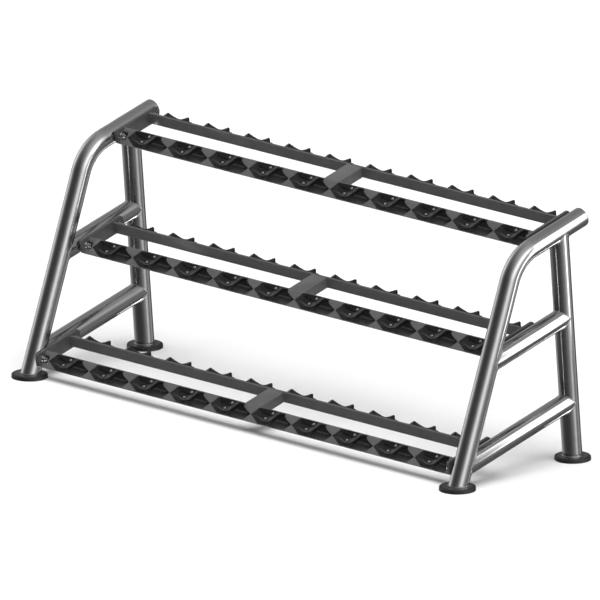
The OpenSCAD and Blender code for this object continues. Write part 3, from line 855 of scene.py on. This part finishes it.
def saddleShell(centreX, mirror):
    # grid across and down the saddle between its two outlines, with its height, its painted
    # highlight and its painted shade
    g = saddle
    steps = unevenSteps(g["down"], g["downMarks"], g["downCrowd"])
    u = -g["lap"] + steps * (g["low"] + g["lap"])
    u[np.argmin(np.abs(u - g["tip"]))] = g["tip"]
    outLeft, outRight = onCurve(u, "outDown", "outLeft"), onCurve(u, "outDown", "outRight")
    if mirror < 0:
        outLeft, outRight = outRight, outLeft
    leftWidth = np.minimum(outLeft, centreX + g["endLimit"])
    rightWidth = np.minimum(outRight, g["endLimit"] - centreX)
    steps = unevenSteps(g["across"], g["acrossMarks"], g["acrossCrowd"])
    x = -leftWidth[:, None] + (leftWidth + rightWidth)[:, None] * steps[None, :]
    down = np.broadcast_to(u[:, None], x.shape)
    return x, down, *saddleHeight(mirror * x, down, mirror)


def shellFaces(rows, cols, start):
    # the grid, a wall round its border, and the border's copy behind it as one flat face
    border = np.concatenate([
        np.arange(cols), cols * np.arange(1, rows) + cols - 1,
        (rows - 1) * cols + np.arange(cols - 2, -1, -1), cols * np.arange(rows - 2, 0, -1)])
    ring = np.arange(len(border))
    nextRing = (ring + 1) % len(border)
    back = start + rows * cols
    walls = np.stack([start + border, start + border[nextRing], back + nextRing, back + ring],
                     axis=-1)
    faces = list(gridFaces(rows, cols, False, start)) + list(walls) + [back + ring]
    return border, faces


def rowOfSaddles(name, tier, rear, node):
    # ten saddles in one mesh: down and height are turned by the flange's slope round the rail's
    # nose. The rear row is the front one turned half round, apart from its brim and horns
    g = saddle
    slope = math.radians(g["slope"])
    sine, cosine = math.sin(slope), math.cos(slope)
    allPoints, allFaces, tones, start = [], [], {"paintedHighlight": [], "paintedShade": []}, 0
    for k in range(g["count"]):
        centreX = g["shift"] + (k - (g["count"] - 1) / 2) * g["pitch"]
        x, u, h, paintedHighlight, paintedShade = saddleShell(centreX, -1 if rear else 1)
        border, faces = shellFaces(*x.shape, start)
        xs = np.concatenate([x.ravel(), x.ravel()[border]])
        us = np.concatenate([u.ravel(), u.ravel()[border]])
        hs = np.concatenate([h.ravel(), np.full(len(border), g["back"])])
        s = -g["nose"] - g["nose"] * sine - us * cosine - hs * sine
        n = -g["nose"] + g["nose"] * cosine - us * sine + hs * cosine
        if rear:
            s = rack["railGap"] - s
        allPoints.append(trayPoints(tier, centreX + xs, s, n))
        allFaces += faces
        for tone, values in (("paintedHighlight", paintedHighlight), ("paintedShade", paintedShade)):
            tones[tone] += [values.ravel(), np.zeros(len(border))]
        start += len(xs)
    piece = newPiece(name, np.concatenate(allPoints), allFaces, surfaces["saddlePlastic"],
                     g["sharp"])
    # the painted highlight and the painted shade go on the points as two attributes
    for tone, values in tones.items():
        layer = piece.data.attributes.new(tone, "FLOAT", "POINT")
        layer.data.foreach_set("value", np.concatenate(values).astype(np.float32))
    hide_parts(node)


for tier in tiers:
    rowOfSaddles(tier + "FrontSaddles", tier, False, tier + "_front_saddles")
    rowOfSaddles(tier + "RearSaddles", tier, True, tier + "_rear_saddles")
print("saddles drawn")

studio = {
    "floorSize": 60.0, "floorColour": (0.86, 0.86, 0.86), "floorRough": 0.9, "floorShine": 0.1,
    "base": 0.048, "backdrop": 1.0,
    # soft patches of light round the rack: azimuth, elevation, sharpness, strength
    "patches": (
        (85, 22, 6, 0.653), (-93, 18, 6, 0.627), (77, 17, 16, 0.966), (111, -41, 40, 15.08),
        (-80, 15, 16, 0.556), (161, -17, 90, 0.355), (86, 73, 6, 0.404), (144, -6, 90, 0.791),
        (166, -25, 90, 0.350), (100, 33, 40, 1.669), (-124, 66, 40, 0.194), (-107, -52, 6, 0.425),
    ),
    # tall card behind the right frame, which draws a bright line on its tubes
    "cardAt": (2.45, 1.08, 1.2), "cardTo": (1.15, 0.2, 1.2), "cardSize": (0.5, 2.2), "cardPower": 8,
    # high soft sun, from azimuth and elevation: lights the floor and stays out of reflections
    "sunFrom": (30, 72), "sunPower": 3.1, "sunAngle": 60,
}
# The photo is a parallel view, so the camera stands far off with a long lens
view = {"azimuth": 44.990, "elevation": 15.007, "lens": 1700, "sensor": 36, "width": 2.2794,
        "target": (0.0009, 0.0007, 0.4639), "clip": (0.5, 2)}


def aim(azimuth, elevation):
    # unit vector toward a direction: azimuth 0 is the front, 90 the right side
    a, e = math.radians(azimuth), math.radians(elevation)
    return Vector((math.sin(a) * math.cos(e), -math.cos(a) * math.cos(e), math.sin(e)))


def placed(name, data, location, facing):
    # a lamp or camera at a place, looking along a direction
    item = bpy.data.objects.new(name, data)
    item.location = location
    item.rotation_mode = "QUATERNION"
    item.rotation_quaternion = facing.to_track_quat("-Z", "Y")
    bpy.context.scene.collection.objects.link(item)
    return item


floorMesh = bpy.data.meshes.new("floor")
half = studio["floorSize"] / 2
floorMesh.from_pydata([(-half, -half, 0), (half, -half, 0), (half, half, 0), (-half, half, 0)],
                      [], [(0, 1, 2, 3)])
floorObject = bpy.data.objects.new("floor", floorMesh)
bpy.context.scene.collection.objects.link(floorObject)
floorMaterial, _, floorShader = newMaterial("floorPaper")
floorShader.inputs["Base Color"].default_value = (*studio["floorColour"], 1)
floorShader.inputs["Roughness"].default_value = studio["floorRough"]
floorShader.inputs["Specular IOR Level"].default_value = studio["floorShine"]
floorMesh.materials.append(floorMaterial)
floorObject.visible_glossy = False

world = bpy.data.worlds.new("studio")
bpy.context.scene.world = world
world.use_nodes = True
sky = world.node_tree
background = sky.nodes["Background"]
direction = sky.nodes.new("ShaderNodeTexCoord")


def skyMath(operation, *values):
    # one math node; each value is a number or the output of another node
    node = sky.nodes.new("ShaderNodeMath")
    node.operation = operation
    for socket, value in zip(node.inputs, values):
        if isinstance(value, (int, float)):
            socket.default_value = value
        else:
            sky.links.new(value, socket)
    return node.outputs[0]


skyLight = studio["base"]
for azimuth, elevation, sharpness, strength in studio["patches"]:
    # strength times the exponential of sharpness times the cosine of the angle from the patch's
    # centre, less one
    dot = sky.nodes.new("ShaderNodeVectorMath")
    dot.operation = "DOT_PRODUCT"
    dot.inputs[1].default_value = aim(azimuth, elevation)
    sky.links.new(direction.outputs["Generated"], dot.inputs[0])
    falling = skyMath("MULTIPLY_ADD", dot.outputs["Value"], float(sharpness), -float(sharpness))
    skyLight = skyMath("MULTIPLY_ADD", skyMath("EXPONENT", falling), strength, skyLight)
# the camera sees a plain white backdrop; everything else is lit by the patches
path = sky.nodes.new("ShaderNodeLightPath")
mixed = sky.nodes.new("ShaderNodeMix")
mixed.inputs["B"].default_value = studio["backdrop"]
sky.links.new(path.outputs["Is Camera Ray"], mixed.inputs["Factor"])
sky.links.new(skyLight, mixed.inputs["A"])
sky.links.new(mixed.outputs["Result"], background.inputs["Strength"])
background.inputs["Color"].default_value = (1, 1, 1, 1)

cardData = bpy.data.lights.new("backCard", "AREA")
cardData.shape = "RECTANGLE"
cardData.size, cardData.size_y = studio["cardSize"]
cardData.energy = studio["cardPower"]
cardFacing = Vector(studio["cardTo"]) - Vector(studio["cardAt"])
card = placed("backCard", cardData, studio["cardAt"], cardFacing)
card.visible_camera = False

sunData = bpy.data.lights.new("highSun", "SUN")
sunData.energy = studio["sunPower"]
sunData.angle = math.radians(studio["sunAngle"])
sun = placed("highSun", sunData, (0, 0, 0), -aim(*studio["sunFrom"]))
sun.visible_glossy = False

cameraData = bpy.data.cameras.new("camera")
cameraData.lens = view["lens"]
cameraData.sensor_width = view["sensor"]
back = aim(view["azimuth"], view["elevation"])
distance = view["width"] * view["lens"] / view["sensor"]
cameraData.clip_start, cameraData.clip_end = (distance * part for part in view["clip"])
camera = placed("camera", cameraData, Vector(view["target"]) + back * distance, -back)
bpy.context.scene.camera = camera
bpy.context.scene.view_settings.view_transform = "Standard"
print("stage set")
